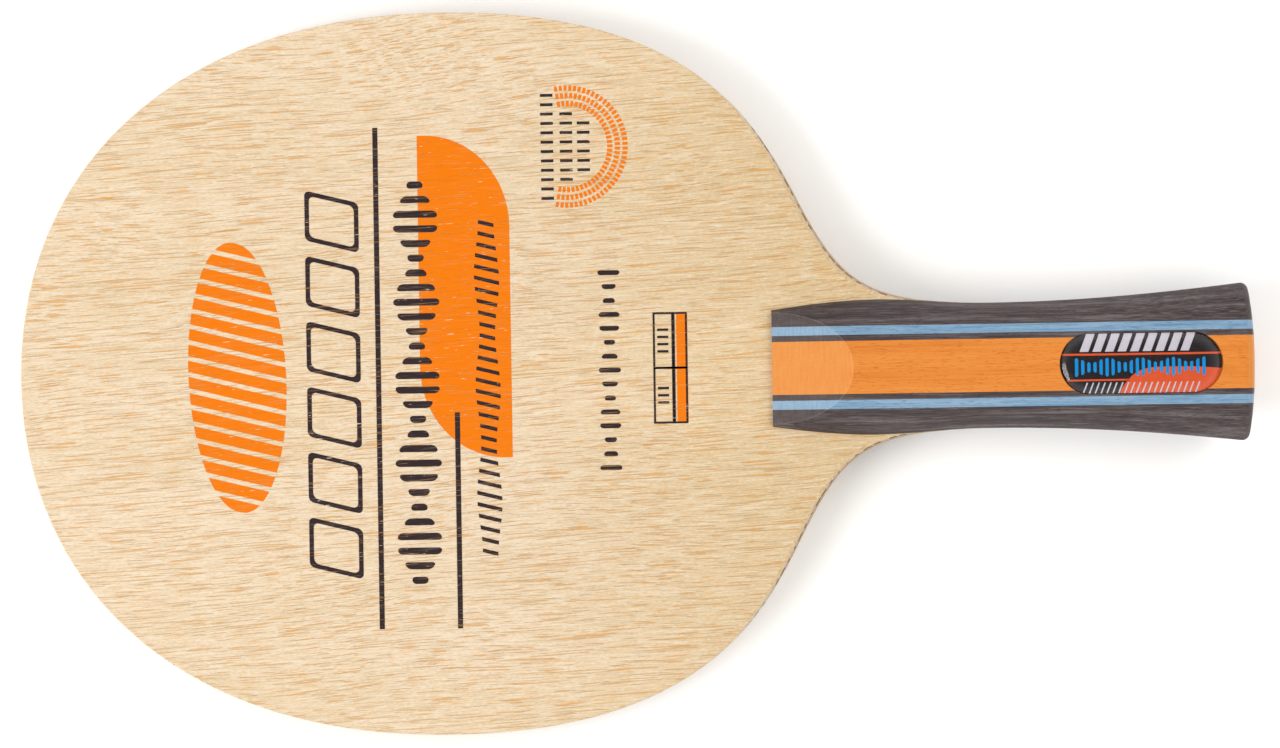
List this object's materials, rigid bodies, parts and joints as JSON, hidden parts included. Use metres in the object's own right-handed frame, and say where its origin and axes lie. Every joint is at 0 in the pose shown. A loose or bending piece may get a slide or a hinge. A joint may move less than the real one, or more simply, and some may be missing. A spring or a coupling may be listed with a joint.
{
  "type": "table tennis blade",
  "caption": "Bare table tennis blade: rounded plywood head with fibre plies, flared striped grip of two glued half-shells and a badge under a clear resin lens.",
  "frame": {"origin": "middle of the overall length and width, at the level of the lowest point of the back grip half (the butt)", "axes": "+X along the grip, from the head's tip towards the butt; +Y across the head; +Z out of the front face, the one with the badge"},
  "size_m": [0.257, 0.1504, 0.0234],
  "materials": {
    "face_veneer": "satin",
    "inner_veneer": "matte",
    "balsa": "matte",
    "fibre_cloth": "satin",
    "charcoal_wood": "satin",
    "blue_wood": "satin",
    "orange_wood": "satin",
    "badge_foil": "satin",
    "clear_resin": "gloss",
    "dark_ink": "matte",
    "orange_ink": "matte"
  },
  "bodies": {
    "root": {"front_outer_veneer": "face_veneer", "front_fibre_ply": "fibre_cloth", "front_inner_veneer": "inner_veneer", "balsa_core": "balsa", "back_inner_veneer": "inner_veneer", "back_fibre_ply": "fibre_cloth", "back_outer_veneer": "face_veneer", "front_left_outer_strip": "charcoal_wood", "front_left_blue_strip": "blue_wood", "front_left_thin_strip": "charcoal_wood", "front_orange_strip": "orange_wood", "front_right_thin_strip": "charcoal_wood", "front_right_blue_strip": "blue_wood", "front_right_outer_strip": "charcoal_wood", "back_left_outer_strip": "charcoal_wood", "back_left_blue_strip": "blue_wood", "back_left_thin_strip": "charcoal_wood", "back_orange_strip": "orange_wood", "back_right_thin_strip": "charcoal_wood", "back_right_blue_strip": "blue_wood", "back_right_outer_strip": "charcoal_wood", "badge_label": "badge_foil", "badge_resin_lens": "clear_resin"}
  },
  "joints": []
}
